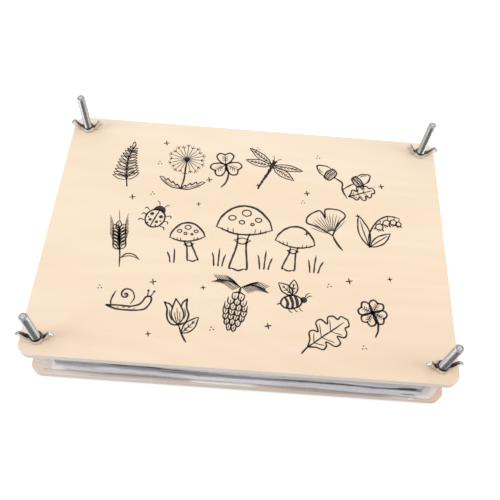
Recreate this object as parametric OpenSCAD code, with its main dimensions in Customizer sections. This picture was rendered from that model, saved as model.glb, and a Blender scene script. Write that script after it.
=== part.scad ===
// Flower press: a stack of corrugated cards and blotting sheets in a clear film bag,
// squeezed between two boards by four carriage bolts with wing nuts.
// X runs along the boards, Y from front to back and Z up. The origin is under the
// middle of the boards, level with the crowns of the bolt heads, which it stands on.

/* [Boards] */
// Length of each board, left to right
board_l = 300; // [290:1:400]
// Depth of each board, front to back
board_w = 210; // [206:1:300]
// Thickness of each board
board_t = 7; // [5:0.5:12]
// Radius of the boards' corners
corner_r = 8; // [4:0.5:20]
// Radius that eases the boards' edges
edge_r = 0.6; // [0.2:0.1:1.5]
// Diameter of the bolt holes in the boards
hole_d = 7; // [6.6:0.1:8]

/* [Bolts] */
// Distance from a bolt's axis to the two nearest edges of the boards
bolt_inset = 12; // [10:0.5:13]
// Diameter over the bolt's thread
bolt_d = 6; // [5.5:0.1:6.3]
// Length of the bolt under its head
bolt_len = 80; // [65:1:120]
// Diameter of the domed head
head_d = 16; // [14:0.5:20]
// Height of the domed head
head_h = 3.3; // [2.6:0.1:5]
// Diameter of the flat crown in the middle of the head
crown_d = 6; // [4:0.5:9]
// Thickness of the head at its rim
rim_t = 0.8; // [0.4:0.1:1.2]
// Width of the square neck across its flats
neck_w = 6.4; // [6.3:0.1:7]
// Height of the square neck
neck_h = 4; // [2:0.5:4.5]
// Height and depth of the chamfer at the bolt's end
tip_c = 0.6; // [0.3:0.1:1]

/* [Wing nuts] */
// Width over both wings
wing_span = 25.5; // [24:0.5:30]
// Height from the seat to the top of the wings
wing_h = 9.5; // [9:0.5:12]
// Width of a wing at its end, as seen from the side
wing_w = 5; // [4:0.25:5.5]
// How steeply the wings rise, in degrees
wing_rise = 46; // [40:1:52]
// Radius of the two corners at a wing's end
wing_corner_r = 1.2; // [0.8:0.1:1.6]
// Thickness of a wing at the bolt's axis, from where it thins
wing_root_t = 4.4; // [3:0.1:5]
// Thickness of a wing at its end
wing_end_t = 1.8; // [1.2:0.1:2.4]
// Radius of the shallow hollows along a wing's upper and lower edges
hollow_r = 25; // [16:1:60]
// Diameter of the hub at its seat
hub_d = 10.6; // [10:0.1:12.5]
// Diameter of the hub at its top
hub_top_d = 8.6; // [8.2:0.1:9.8]
// Height of the hub
hub_h = 3.4; // [3:0.1:4.5]
// Chamfer on the hub's rims and at the mouths of its thread
hub_c = 0.4; // [0.2:0.1:0.6]
// Angle of each nut, front left, front right, back left and back right
nut_turns = [3, 5, 2, -3];

/* [Stack] */
// Room between the bolts and each end of a stack that lies in the boards' middle
end_room = 5; // [4.5:0.5:40]
// How far the boards stand past such a stack in front and behind
edge_room = 5; // [3:0.5:25]
// Number of corrugated cards, with blotting sheets between them
card_count = 7; // [2:1:12]
// Thickness of a corrugated card
card_t = 3; // [2:0.5:5]
// Thickness of the flat liners on both faces of a card
liner_t = 0.35; // [0.2:0.05:0.5]
// Thickness of the wavy layer inside a card
flute_t = 0.3; // [0.2:0.05:0.4]
// Distance from one flute of a card to the next
flute_pitch = 6.5; // [5:0.5:9]
// Number of blotting sheets between two cards
blotters_between = 2; // [1:1:3]
// Thickness of a blotting sheet
blotter_t = 0.7; // [0.3:0.1:1.5]
// How far the stack lies to the right of the boards' middle
stack_right = 2.5; // [0:0.5:4]
// How far the stack lies in front of the boards' middle
stack_front = 1; // [0:0.5:2]

/* [Film bag] */
// Thickness of the film
film_t = 0.3; // [0.1:0.05:0.5]
// How far the folded ears at the bag's front corners stand out sideways
ear_l = 9; // [4:0.5:11]
// Depth of the ears, front to back
ear_w = 4.5; // [3:0.5:5]
// Thickness of the folded film of an ear
ear_t = 0.9; // [0.6:0.1:2]

/* [Clearances] */
// Gap between a bolt and the thread of its nut, on the radius
thread_gap = 0.05; // [0.02:0.01:0.1]
// Gap between a nut and the board under it
seat_gap = 0.05; // [0.02:0.01:0.2]
// Gap between the bag and each board
board_gap = 0.15; // [0.05:0.05:0.5]
// Gap round a square neck in its pocket
neck_gap = 0.05; // [0.02:0.01:0.1]

/* [Hidden] */
cards = [for (i = [1:card_count]) str("card_", i)];
blotter_count = (card_count - 1) * blotters_between;
blotters = [for (i = [1:blotter_count]) str("blotter_", i)];
corners = ["front_left", "front_right", "back_left", "back_right"];

// Number of sides that draws a round form: large ones and small ones
fine = 64;
small = 32;
// How far a cut runs past the faces that it opens
overrun = 1;

// Colours
wood = "#F3DCBE";
zinc = "#B4B6B8";
card_white = "#D8D6D4";
paper_white = "#F0EFEE";
film_clear = [0.92, 0.93, 0.96, 0.45];

// Places of the bolts, in the order of the list of corners
bolt_x = board_l / 2 - bolt_inset;
bolt_y = board_w / 2 - bolt_inset;
places = [[-bolt_x, -bolt_y], [bolt_x, -bolt_y], [-bolt_x, bolt_y], [bolt_x, bolt_y]];

// Length and depth of the cards and sheets, which lie between the left and right bolts
sheet_l = 2 * (bolt_x - bolt_d / 2 - end_room);
sheet_w = board_w - 2 * edge_room;

// Heights, from the crowns of the bolt heads up
stack_h = card_count * card_t + blotter_count * blotter_t;
bottom_z = head_h;
bag_z = bottom_z + board_t + board_gap;
stack_z = bag_z + film_t;
top_z = stack_z + stack_h + film_t + board_gap;
nut_z = top_z + board_t + seat_gap;
bolt_end_z = head_h + bolt_len;

// Height of one card with the blotting sheets on it
layer_h = card_t + blotters_between * blotter_t;

// The domed head is part of a ball that meets the crown's rim and the head's rim
dome_h = head_h - rim_t;
dome_sum = (pow(head_d / 2, 2) - pow(crown_d / 2, 2)) / dome_h;
dome_z = (dome_sum + dome_h) / 2;
dome_r = sqrt(pow(dome_z, 2) + pow(crown_d / 2, 2));

// Centres of the corners at a wing's end, and of the round foot beside the hub
wing_end = [-sin(wing_rise), cos(wing_rise)] * (wing_w - 2 * wing_corner_r);
low_corner = [wing_span / 2 - wing_corner_r, wing_h - wing_corner_r - wing_end.y];
high_corner = low_corner + wing_end;
foot_r = hub_h * 0.45;
foot = [hub_d / 2 + foot_r / 2, foot_r + 0.05 * hub_h];

// Centre of a circle of radius r that touches two circles from outside, on one side
function touching_centre(c1, r1, c2, r2, r, side) =
    let (
        run = c2 - c1,
        d = norm(run),
        along = (pow(r1 + r, 2) - pow(r2 + r, 2) + pow(d, 2)) / (2 * d),
        aside = sqrt(pow(r1 + r, 2) - pow(along, 2)) * side
    )
    c1 + run * along / d + [-run.y, run.x] * aside / d;

// Point where a circle meets one that touches it
function touching_point(c, r, other) = c + (other - c) * r / norm(other - c);

// Board outline eased along its edges, as seen from the end that is called across
module eased(across) {
    rounding = board_t / 2 - edge_r;
    square([across - 2 * edge_r, board_t], center = true);
    square([across, 2 * rounding], center = true);
    for (x = [-1, 1], y = [-1, 1])
        translate([x * (across / 2 - edge_r), y * rounding]) circle(r = edge_r, $fn = small);
}

// A board with round corners and eased edges, without holes, its underside at 0
module plain_board() {
    translate([0, 0, board_t / 2]) {
        rotate([90, 0, 90])
            linear_extrude(height = board_l - 2 * corner_r, center = true) eased(board_w);
        rotate([90, 0, 0])
            linear_extrude(height = board_w - 2 * corner_r, center = true) eased(board_l);
        for (x = [-1, 1], y = [-1, 1])
            translate([x * (board_l / 2 - corner_r), y * (board_w / 2 - corner_r), 0])
                rotate_extrude($fn = fine)
                    intersection() {
                        eased(2 * corner_r);
                        translate([0, -board_t / 2]) square([corner_r, board_t]);
                    }
    }
}

module board_holes() {
    for (p = places)
        translate([p.x, p.y, -overrun])
            cylinder(d = hole_d, h = board_t + 2 * overrun, $fn = small);
}

// Each bolt's square neck is sunk in the underside of this board
module bottom_board() {
    pocket_w = neck_w + 2 * neck_gap;
    pocket_h = neck_h + neck_gap + overrun;
    color(wood)
        translate([0, 0, bottom_z])
            difference() {
                plain_board();
                board_holes();
                for (p = places)
                    translate([p.x - pocket_w / 2, p.y - pocket_w / 2, -overrun])
                        cube([pocket_w, pocket_w, pocket_h]);
            }
}

module top_board() {
    color(wood)
        translate([0, 0, top_z])
            difference() {
                plain_board();
                board_holes();
            }
}

// Carriage bolt, head down, with a flat crown, a square neck and a chamfered end
module bolt(place) {
    shank_h = bolt_len - tip_c;
    color(zinc)
        translate([place.x, place.y, 0]) {
            rotate_extrude($fn = fine)
                intersection() {
                    translate([0, dome_z]) circle(r = dome_r, $fn = fine);
                    square([head_d / 2, head_h]);
                }
            translate([-neck_w / 2, -neck_w / 2, head_h]) cube([neck_w, neck_w, neck_h]);
            translate([0, 0, head_h]) cylinder(d = bolt_d, h = shank_h, $fn = small);
            translate([0, 0, head_h + shank_h])
                cylinder(d1 = bolt_d, d2 = bolt_d - 2 * tip_c, h = tip_c, $fn = small);
        }
}

// One wing from the side: it widens from a round foot to a square end with round corners
module wing_outline() {
    end_r = wing_corner_r;
    upper = touching_centre(foot, foot_r, high_corner, end_r, hollow_r, 1);
    lower = touching_centre(foot, foot_r, low_corner, end_r, hollow_r, -1);
    outward = [wing_end.y, -wing_end.x] * end_r / norm(wing_end);
    difference() {
        union() {
            translate(foot) circle(r = foot_r, $fn = fine);
            translate(low_corner) circle(r = end_r, $fn = fine);
            translate(high_corner) circle(r = end_r, $fn = fine);
            polygon([
                foot, touching_point(foot, foot_r, lower),
                touching_point(low_corner, end_r, lower), low_corner,
                low_corner + outward, high_corner + outward, high_corner,
                touching_point(high_corner, end_r, upper), touching_point(foot, foot_r, upper)
            ]);
        }
        translate(upper) circle(r = hollow_r, $fn = fine);
        translate(lower) circle(r = hollow_r, $fn = fine);
    }
    // Web from the bolt's axis to the foot, level with the chamfers on the hub's rims
    translate([0, hub_c]) square([foot.x, hub_h - 2 * hub_c]);
}

// A wing thins from the hub to its end
module wing() {
    intersection() {
        rotate([90, 0, 0]) linear_extrude(height = wing_root_t, center = true) wing_outline();
        linear_extrude(height = wing_h)
            polygon([
                [0, -wing_root_t / 2], [wing_span / 2, -wing_end_t / 2],
                [wing_span / 2, wing_end_t / 2], [0, wing_root_t / 2]
            ]);
    }
}

// Conical hub, chamfered at its rims
module hub() {
    seat_r = hub_d / 2;
    top_r = hub_top_d / 2;
    rotate_extrude($fn = fine)
        polygon([
            [0, 0], [seat_r - hub_c, 0], [seat_r, hub_c],
            [top_r, hub_h - hub_c], [top_r - hub_c, hub_h], [0, hub_h]
        ]);
}

// Threaded bore, opened at both mouths; the thread itself is drawn at its outer diameter
module nut_bore() {
    bore_r = bolt_d / 2 + thread_gap;
    translate([0, 0, -overrun]) cylinder(r = bore_r, h = wing_h + overrun, $fn = small);
    for (z = [0, hub_h])
        translate([0, 0, z])
            rotate_extrude($fn = small)
                polygon([[0, -hub_c], [bore_r, -hub_c], [bore_r + hub_c, 0], [bore_r, hub_c], [0, hub_c]]);
}

module wing_nut(place, turn) {
    color(zinc)
        translate([place.x, place.y, nut_z])
            rotate([0, 0, turn])
                difference() {
                    union() {
                        hub();
                        wing();
                        mirror([1, 0, 0]) wing();
                    }
                    nut_bore();
                }
}

// The air between a card's wavy layer and one liner, as seen from the left side
module tunnel() {
    crest_w = flute_pitch * 0.2;
    air_h = card_t - 2 * liner_t - flute_t;
    foot_w = flute_pitch - crest_w - 2 * flute_t;
    polygon([
        [-foot_w / 2, 0], [foot_w / 2, 0],
        [crest_w / 2 - flute_t / 2, air_h], [flute_t / 2 - crest_w / 2, air_h]
    ]);
}

// Corrugated card whose flutes run from left to right, centred, its underside at 0
module corrugated_card() {
    tunnel_count = floor((sheet_w - flute_pitch) / flute_pitch);
    first_y = -tunnel_count * flute_pitch / 2;
    rotate([90, 0, 90])
        linear_extrude(height = sheet_l, center = true)
            difference() {
                translate([-sheet_w / 2, 0]) square([sheet_w, card_t]);
                for (i = [0:tunnel_count - 1]) {
                    translate([first_y + i * flute_pitch, liner_t]) tunnel();
                    translate([first_y + (i + 0.5) * flute_pitch, card_t - liner_t])
                        mirror([0, 1]) tunnel();
                }
            }
}

module card(number) {
    color(card_white)
        translate([stack_right, -stack_front, stack_z + (number - 1) * layer_h])
            corrugated_card();
}

// Blotting sheets lie on the card below them, several to a layer
module blotter(number) {
    below = floor((number - 1) / blotters_between);
    in_layer = (number - 1) % blotters_between;
    z = stack_z + below * layer_h + card_t + in_layer * blotter_t;
    color(paper_white)
        translate([stack_right - sheet_l / 2, -stack_front - sheet_w / 2, z])
            cube([sheet_l, sheet_w, blotter_t]);
}

// Folded corner of the bag, lying flat in front of the bolt; side is -1 left, 1 right
module bag_ear(side) {
    side_x = stack_right + side * sheet_l / 2;
    front_y = -stack_front - sheet_w / 2 - film_t;
    translate([0, 0, bag_z])
        linear_extrude(height = ear_t)
            polygon([
                [side_x, front_y], [side_x + side * ear_l, front_y],
                [side_x + side * ear_l * 0.7, front_y + ear_w * 0.5], [side_x, front_y + ear_w]
            ]);
}

// Bag of clear film, tight over the stack and open at its right end
module film_bag() {
    bag_l = sheet_l + film_t;
    bag_w = sheet_w + 2 * film_t;
    bag_h = stack_h + 2 * film_t;
    left_x = stack_right - sheet_l / 2;
    front_y = -stack_front - sheet_w / 2;
    color(film_clear)
        difference() {
            union() {
                translate([left_x - film_t, front_y - film_t, bag_z]) cube([bag_l, bag_w, bag_h]);
                bag_ear(-1);
                bag_ear(1);
            }
            translate([left_x, front_y, stack_z]) cube([sheet_l + ear_l, sheet_w, stack_h]);
        }
}

bottom_board();
top_board();
film_bag();
for (i = [1:card_count])
    card(i);
for (i = [1:blotter_count])
    blotter(i);
for (i = [0:len(corners) - 1]) {
    bolt(places[i]);
    wing_nut(places[i], nut_turns[i]);
}
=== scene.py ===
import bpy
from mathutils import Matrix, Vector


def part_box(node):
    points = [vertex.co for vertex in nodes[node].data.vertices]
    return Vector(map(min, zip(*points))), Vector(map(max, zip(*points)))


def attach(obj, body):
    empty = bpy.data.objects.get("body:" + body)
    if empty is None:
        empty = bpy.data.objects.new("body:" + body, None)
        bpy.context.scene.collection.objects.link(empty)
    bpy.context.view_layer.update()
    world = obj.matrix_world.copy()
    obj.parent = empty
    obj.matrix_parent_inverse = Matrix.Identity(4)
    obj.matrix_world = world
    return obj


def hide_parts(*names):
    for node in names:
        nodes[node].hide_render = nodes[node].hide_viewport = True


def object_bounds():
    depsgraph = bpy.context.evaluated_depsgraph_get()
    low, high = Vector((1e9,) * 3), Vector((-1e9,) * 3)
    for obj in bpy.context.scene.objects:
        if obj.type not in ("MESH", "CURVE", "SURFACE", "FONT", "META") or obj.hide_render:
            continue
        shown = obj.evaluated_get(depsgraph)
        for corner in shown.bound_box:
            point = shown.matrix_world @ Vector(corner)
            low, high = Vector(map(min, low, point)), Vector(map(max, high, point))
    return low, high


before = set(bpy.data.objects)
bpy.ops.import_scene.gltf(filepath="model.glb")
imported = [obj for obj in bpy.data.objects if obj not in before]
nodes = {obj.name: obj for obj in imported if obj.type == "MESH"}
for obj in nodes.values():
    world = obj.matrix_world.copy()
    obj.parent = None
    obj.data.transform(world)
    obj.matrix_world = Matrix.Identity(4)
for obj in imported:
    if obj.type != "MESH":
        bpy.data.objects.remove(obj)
cad_bounds = [list(corner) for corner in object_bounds()]

import cmath
import math

import bpy
import numpy as np
from mathutils import Matrix, Vector, noise

MM = 0.001
CORNERS = ("front_left", "front_right", "back_left", "back_right")


# Shaders

class Shade:
    """One output in a material's node tree. Sums written with it add math nodes."""

    def __init__(self, tree, socket=None):
        self.tree, self.socket = tree, socket

    def node(self, kind, settings=None, inputs=None, output=0):
        made = self.tree.nodes.new("ShaderNode" + kind)
        for key, value in (settings or {}).items():
            setattr(made, key, value)
        for key, value in (inputs or {}).items():
            if isinstance(value, Shade):
                self.tree.links.new(value.socket, made.inputs[key])
            else:
                made.inputs[key].default_value = value
        return Shade(self.tree, made.outputs[output])

    def math(self, operation, *values):
        return self.node("Math", {"operation": operation}, dict(enumerate((self, *values))))

    def reversed_math(self, operation, other):
        return self.node("Math", {"operation": operation}, {0: other, 1: self})

    def __add__(self, other):
        return self.math("ADD", other)

    def __radd__(self, other):
        return self.reversed_math("ADD", other)

    def __sub__(self, other):
        return self.math("SUBTRACT", other)

    def __rsub__(self, other):
        return self.reversed_math("SUBTRACT", other)

    def __mul__(self, other):
        return self.math("MULTIPLY", other)

    def __rmul__(self, other):
        return self.reversed_math("MULTIPLY", other)

    def __mod__(self, other):
        return self.math("FLOORED_MODULO", other)

    def __abs__(self):
        return self.math("ABSOLUTE")

    def larger(self, other):
        return self.math("MAXIMUM", other)

    def smaller(self, other):
        return self.math("MINIMUM", other)

    def axis(self, letter):
        return self.node("SeparateXYZ", {}, {0: self}, letter)

    def scaled(self, x, y, z):
        return self.node("VectorMath", {"operation": "MULTIPLY"}, {0: self, 1: (x, y, z)})

    def in_millimetres(self):
        return self.scaled(1 / MM, 1 / MM, 1 / MM)

    def unit(self):
        return self.node("VectorMath", {"operation": "NORMALIZE"}, {0: self})

    def length(self):
        return self.node("VectorMath", {"operation": "LENGTH"}, {0: self}, "Value")

    def dot(self, other):
        return self.node("VectorMath", {"operation": "DOT_PRODUCT"}, {0: self, 1: other}, "Value")

    def noise(self, scale, detail=2.0, roughness=0.5):
        inputs = {"Vector": self, "Scale": scale, "Detail": detail, "Roughness": roughness}
        return self.node("TexNoise", {}, inputs)

    def step(self, low, high, start=0.0, end=1.0):
        """Eases from start to end while this value goes from low to high."""
        inputs = {"Value": self, "From Min": low, "From Max": high, "To Min": start, "To Max": end}
        return self.node("MapRange", {"interpolation_type": "SMOOTHSTEP"}, inputs)

    def near(self, centre, inner, outer, peak=1.0):
        """The peak within the inner distance from the centre, nothing beyond the outer one."""
        return abs(self - centre).step(inner, outer, peak, 0.0)

    def between(self, first, second):
        """The colour between two colours that this value picks."""
        # The Mix node's sockets 6 and 7 are its colours, and its output 2 is the mixed one
        return self.node("Mix", {"data_type": "RGBA"}, {0: self, 6: rgb(first), 7: rgb(second)}, 2)

    def bump(self, distance, strength):
        return self.node("Bump", {}, {"Strength": strength, "Distance": distance, "Height": self})


def rgb(colour):
    return colour if isinstance(colour, Shade) else (*colour, 1.0)


def material(name, constants):
    """A new material, its shader and the place in the part's frame."""
    made = bpy.data.materials.new(name)
    made.use_nodes = True
    shader = made.node_tree.nodes["Principled BSDF"]
    for key, value in constants.items():
        shader.inputs[key].default_value = value
    place = Shade(made.node_tree).node("TexCoord", output="Object")
    return made, shader, place


def connect(shader, values):
    for key, value in values.items():
        value.tree.links.new(value.socket, shader.inputs[key])


# Wood

def wood_material():
    """Pale plywood: flowing veneer figure on the faces, plies with glue lines on the edges."""
    made, shader, place = material("pale_plywood", {"Specular IOR Level": 0.3})
    root = Shade(made.node_tree)
    streaks = place.scaled(16, 900, 900).noise(1.0, 3.0, 0.6)
    fibres = place.scaled(60, 3600, 3600).noise(1.0, 2.0, 0.6)
    flecks = place.scaled(240, 4200, 4200).noise(1.0, 1.0, 0.5).step(0.66, 0.74)
    spot = place.in_millimetres()
    height_share = root.node("TexCoord", output="Generated").axis("Z")
    upright = abs(root.node("TexCoord", output="Normal").axis("Z"))

    face = veneer_face(place, spot, streaks, fibres, flecks)
    edge = warm_edge(spot, ply_edge(place, height_share, streaks))
    colour = upright.step(0.75, 0.95, 1.0, 0.0).between(face, edge)
    connect(shader, {
        "Base Color": front_edge_light_and_shade(spot, colour),
        "Roughness": 0.5 + streaks * 0.25,
        "Normal": (streaks * 0.6 + fibres * 0.5 - flecks * 0.5).bump(0.08 * MM, 0.5),
    })
    return made


def veneer_face(place, spot, streaks, fibres, flecks):
    """Clouds, faint growth rings and fibres, with painted light: paler towards the back and darker towards
    the front.
    """
    ring_count, painted_light_from, painted_light_to = 22, -100, 80
    broad = place.scaled(4, 30, 12).noise(1.0, 2.0, 0.5)
    level = place.scaled(1.6, 8, 5).noise(1.0, 1.5, 0.45) * ring_count
    rings = abs((level % 1.0) - 0.5) * 2
    tone = (broad * 0.8 + rings * 0.12 + streaks * 0.3 + fibres * 0.15).step(0.35, 1.0)
    # Painted light: the back tone is the lit one and the front tone the shaded one, faded from front to back
    back = tone.between((0.925, 0.785, 0.62), (0.885, 0.72, 0.535))
    front = tone.between((0.90, 0.742, 0.575), (0.853, 0.674, 0.492))
    face = spot.axis("Y").step(painted_light_from, painted_light_to).between(front, back)
    return (flecks * 0.3).between(face, (0.74, 0.55, 0.38))


def ply_edge(place, height_share, streaks):
    """Five plies on edge, every second one with end grain, and thin glue lines between them."""
    ply = height_share * 5
    glue = abs((ply % 1.0) - 0.5).step(0.44, 0.485)
    crossed = (ply * 0.5 % 1.0).step(0.499, 0.501)
    along = streaks.between((0.97, 0.90, 0.83), (0.90, 0.82, 0.74))
    ends = place.scaled(1900, 1900, 700).noise(1.0, 2.0).between((0.92, 0.85, 0.77), (0.80, 0.72, 0.64))
    edge = crossed.between(along, ends)
    return (glue * 0.3).between(edge, (0.55, 0.46, 0.38))


def on_lower_board(spot):
    """1 on the lower board and 0 on the upper one: the change lies in the stack between them."""
    return spot.axis("Z").step(11, 14, 1.0, 0.0)


def warm_edge(spot, edge):
    """The upper board's edges turn warmer to the right, and the lower board's along the middle."""
    rightward, lower = spot.axis("X"), on_lower_board(spot)
    upper_warmth = 0.1 + rightward.step(20, 140, 0.0, 0.2)
    lower_warmth = rightward.step(-90, -40, 0.04, 0.24) - rightward.step(60, 105, 0.0, 0.18)
    warmth = upper_warmth * (1 - lower) + lower_warmth * lower
    return warmth.between(edge, (0.88, 0.62, 0.36))


def front_edge_light_and_shade(spot, colour):
    """The lower board's front edge: painted shade near its top and paler at its foot, and painted warm light
    on the lower board's right end.
    """
    rightward, height, lower = spot.axis("X"), spot.axis("Z"), on_lower_board(spot)
    front_edge = lower * spot.axis("Y").step(-104.2, -103.4, 1.0, 0.0)
    # Painted shade along the top of the lower board's front edge, where the eased edge would catch the light
    painted_edge_shade = rightward.step(-80, -40, 0.15, 0.5) + rightward.step(-20, 50, 0.0, 0.25)
    painted_edge_shade = painted_edge_shade + rightward.step(105, 122, 0.0, -0.35)
    painted_edge_shade = painted_edge_shade * height.step(5, 9.2) * front_edge
    pale = front_edge * height.step(3.3, 6.5, 0.6, 0.0)
    # Painted warm light on the lower board's right end, where the right lamp reaches in under the upper board
    painted_warm_light = lower * rightward.step(122, 138, 0.0, 0.33)
    colour = painted_edge_shade.between(colour, (0.66, 0.55, 0.47))
    colour = pale.between(colour, (1.0, 0.96, 0.92))
    return painted_warm_light.between(colour, (0.80, 0.52, 0.30))


# Metal

def metal_material(name, bright, dull, rough, streak):
    """Plated steel: cloudy plating, fine drawn lines and small scratches."""
    made, shader, place = material(name, {"Metallic": 1.0})
    cloud = place.noise(320, 3.0, 0.6)
    drawn = place.scaled(*streak).noise(1.0, 3.0, 0.65)
    pits = place.noise(2600, 2.0, 0.5).step(0.6, 0.75)
    colour = (cloud * 0.6 + drawn * 0.4).step(0.3, 0.7).between(bright, dull)
    connect(shader, {"Normal": (drawn * 0.6 + cloud * 0.5 - pits * 0.6).bump(0.06 * MM, 0.35)})
    return made, shader, place, colour, rough + cloud * 0.12 + pits * 0.1


def bolt_material():
    """Drawn lines along the rod; the cut end is bare, brighter and rougher."""
    made, shader, place, colour, rough = metal_material(
        "bolt_zinc", (0.49, 0.485, 0.485), (0.36, 0.36, 0.36), 0.28, (1400, 1400, 90))
    below_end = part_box("bolt_front_left")[1].z / MM - place.in_millimetres().axis("Z")
    cut = below_end.step(0.55, 0.75, 1.0, 0.0)
    connect(shader, {"Base Color": cut.between(colour, (0.58, 0.57, 0.57)), "Roughness": rough + cut * 0.25})
    return made


def nut_material(side):
    """Bright where the nut is handled, with painted dark reflection and shade on the hub's top between the
    wings and on the wings' upper edges, and painted shade on the outer wing's end.
    """
    made, shader, place, colour, rough = metal_material(
        "nut_zinc_shaded_end_" + side, (0.76, 0.74, 0.71), (0.56, 0.54, 0.51), 0.26, (500, 500, 500))
    normal = Shade(made.node_tree).node("TexCoord", output="Normal")
    spot = place.in_millimetres()
    from_axis = spot.scaled(1, 1, 0)
    reach, outward, upward = from_axis.length(), from_axis.unit().dot(normal), normal.axis("Z")
    # Painted dark reflection and shade on the wings' upper edges and the hub's top, where they face upward
    wing_edges = upward.step(0.2, 0.45) * outward.step(0.15, 0.45, 1.0, 0.0) * reach.step(7, 11, 1.0, 0.4)
    hub_top = upward.step(0.45, 0.65) * reach.step(5, 6, 1.0, 0.0)
    painted_dark_tops = wing_edges.larger(hub_top)
    # Painted shade on the outer wing's end; each side of the press gets its own copy of this material for it
    towards_end = spot.axis("X") * {"left": -1, "right": 1}[side]
    painted_end_shade = towards_end.step(9.6, 10.8) * outward.step(0.35, 0.6)
    colour = painted_dark_tops.between(colour, (0.095, 0.078, 0.068))
    connect(shader, {"Base Color": painted_end_shade.between(colour, (0.22, 0.22, 0.215)), "Roughness": rough})
    return made


# Paper, ink and film

def paper_material(name, light, dark, depth):
    """Pulp board or soft paper with cloudy fibres, raised by the depth."""
    made, shader, place = material(name, {"Specular IOR Level": 0.2})
    cloud = place.noise(90, 3.0, 0.6)
    fibres = place.scaled(300, 1400, 1400).noise(1.0, 4.0, 0.7)
    connect(shader, {
        "Base Color": (cloud * 0.5 + fibres * 0.7).step(0.4, 0.8).between(light, dark),
        "Roughness": 0.75 + fibres * 0.2,
        "Normal": (fibres + cloud * 0.3).bump(depth, 0.6),
    })
    return made


def ink_material():
    """Dark ink that lets a little of the wood's grain show in its tone."""
    made, shader, place = material("dark_ink", {"Specular IOR Level": 0.25})
    grain = place.scaled(60, 1800, 1800).noise(1.0, 3.0, 0.6)
    connect(shader, {
        "Base Color": grain.step(0.35, 0.75).between((0.026, 0.022, 0.019), (0.060, 0.050, 0.042)),
        "Roughness": 0.5 + grain * 0.2,
        "Normal": grain.bump(0.04 * MM, 0.4),
    })
    return made


def across_ear(x, y):
    """Distance from the crease that slants over the bag's folded corner, in millimetres.

    The place is counted from the stack's front left corner."""
    return (x + 10.5) * 0.77 - (y + 0.5) * 0.64


class FilmPlace:
    """Where a point of the film lies, in millimetres, and to which stretch of the bag it belongs."""

    def __init__(self, place):
        low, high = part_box("card_1")
        spot = place.in_millimetres()
        self.haze = place.scaled(22, 160, 260).noise(1.0, 3.0, 0.6)
        self.along, self.across = spot.axis("X"), spot.axis("Y")
        self.above = spot.axis("Z") - low.z / MM
        self.past_left = low.x / MM - self.along
        self.left = self.past_left.step(-0.5, 1.5)
        self.right = (self.along - high.x / MM).step(-6, -2)
        self.ear = self.past_left.step(3, 7)
        self.ear_crease = abs(across_ear(self.along - low.x / MM, self.across - low.y / MM))
        self.slack = self.along.step(-65, 5)
        self.middle = self.along.step(-50, -20) * self.along.step(10, 45, 1.0, 0.0)
        self.under = self.fold_height() - self.above + (self.haze - 0.5) * 4

    def fold_height(self):
        """Height of the deep fold, which is drawn only as its painted shadow line: it falls towards the right
        and rises again at its ends.
        """
        along = self.along
        height = along.step(-102, -78, 1.7, 0.0) + along.step(-80, 10, 20, 15.4)
        height = height + along.step(30, 72, 0.0, 0.9) + along.step(80, 104, 0.0, -0.9)
        return height + along.step(106, 122, 0.0, 2.0)


def fold_shadow(film):
    """Painted shadow: a dark line in the depth of the fold, and a short dark line where a pleat would shade
    the film near the right corner.
    """
    along = film.along
    line = abs(film.under) * along.step(-60, -25, 0.75, 1.0) * along.step(80, 114, 1.0, 0.5)
    ends = along.step(-129.5, -127.6) * along.step(124, 130, 1.0, 0.0)
    shadow = line.step(0.4, 1.6, 1.0, 0.0) * ends * (1 - film.middle * 0.3)
    pleat_shadow = film.above.near(8.2, 0.3, 0.9) * along.step(115, 118) * along.step(125, 128, 0.85, 0.0)
    return shadow.larger(pleat_shadow)


def wall_veil(film):
    """White on the upright film: clear at the fold and thicker away from it, as painted shade under the upper
    board, with painted highlights above the fold, and white at the corners.
    """
    along, above, under = film.along, film.above, film.under
    # Painted shade: the white thins towards the fold, so the wall darkens under the upper board and lightens
    # lower down
    taut_shade_ramp = (under * along.step(-106, -86, 0.62, 1.0)).step(1, 9, 0.08, 1.0)
    loose_shade_ramp = under.step(0.8, 4.6, 0.06, 0.8)
    # Painted highlights just above the fold and on a band higher up
    over_fold = under.step(-2.6, -1, 0.6, 0.0)
    ridge = under.near(-3.2, 0.4, 1.5, 0.8) * along.step(50, 70)
    veil = taut_shade_ramp * (1 - film.slack) + loose_shade_ramp * film.slack
    veil = veil.larger(over_fold).larger(ridge) * above.step(1.5, 5, 0.6, 1.0)
    corners = film.left.larger(film.right) * above.step(1.2, 2) * 0.8
    return veil.larger(corners * film.past_left.step(9, 14, 1.0, 0.3))


def flat_veil(film):
    """White on the film that lies on the lower board, and along the folded corner's crease."""
    # More opaque to the right, where the film's grey carries painted shade onto the board
    spread = film.along.step(-62, -45, 0.66, 0.42) + film.along.step(30, 90, 0.0, 0.3)
    veil = film.above.step(0.2, 1.2, 1.0, 0.0) * spread
    veil = veil.larger(film.past_left.step(-10, -2, 0.0, 0.5)) * film.above.step(0.5, 1.5, 1.0, 0.0)
    return veil * (1 - film.ear) + film.ear_crease.step(0.4, 1.0, 0.65, 0.38) * film.ear


def film_painted_highlight(film):
    """Painted highlights: a bright line along the middle of the film on the board, and a glint near its right
    end.
    """
    stretch = film.along.step(-42, -30) * film.along.step(6, 26, 1.0, 0.0)
    line = (film.across + (film.haze - 0.5) * 2).near(-103.3, 0.5, 1.2) * stretch
    glint = film.along.near(126, 1, 4) * film.across.near(-104.5, 0.3, 0.9)
    return line.larger(glint) * film.above.step(1.5, 3, 1.0, 0.0)


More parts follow.
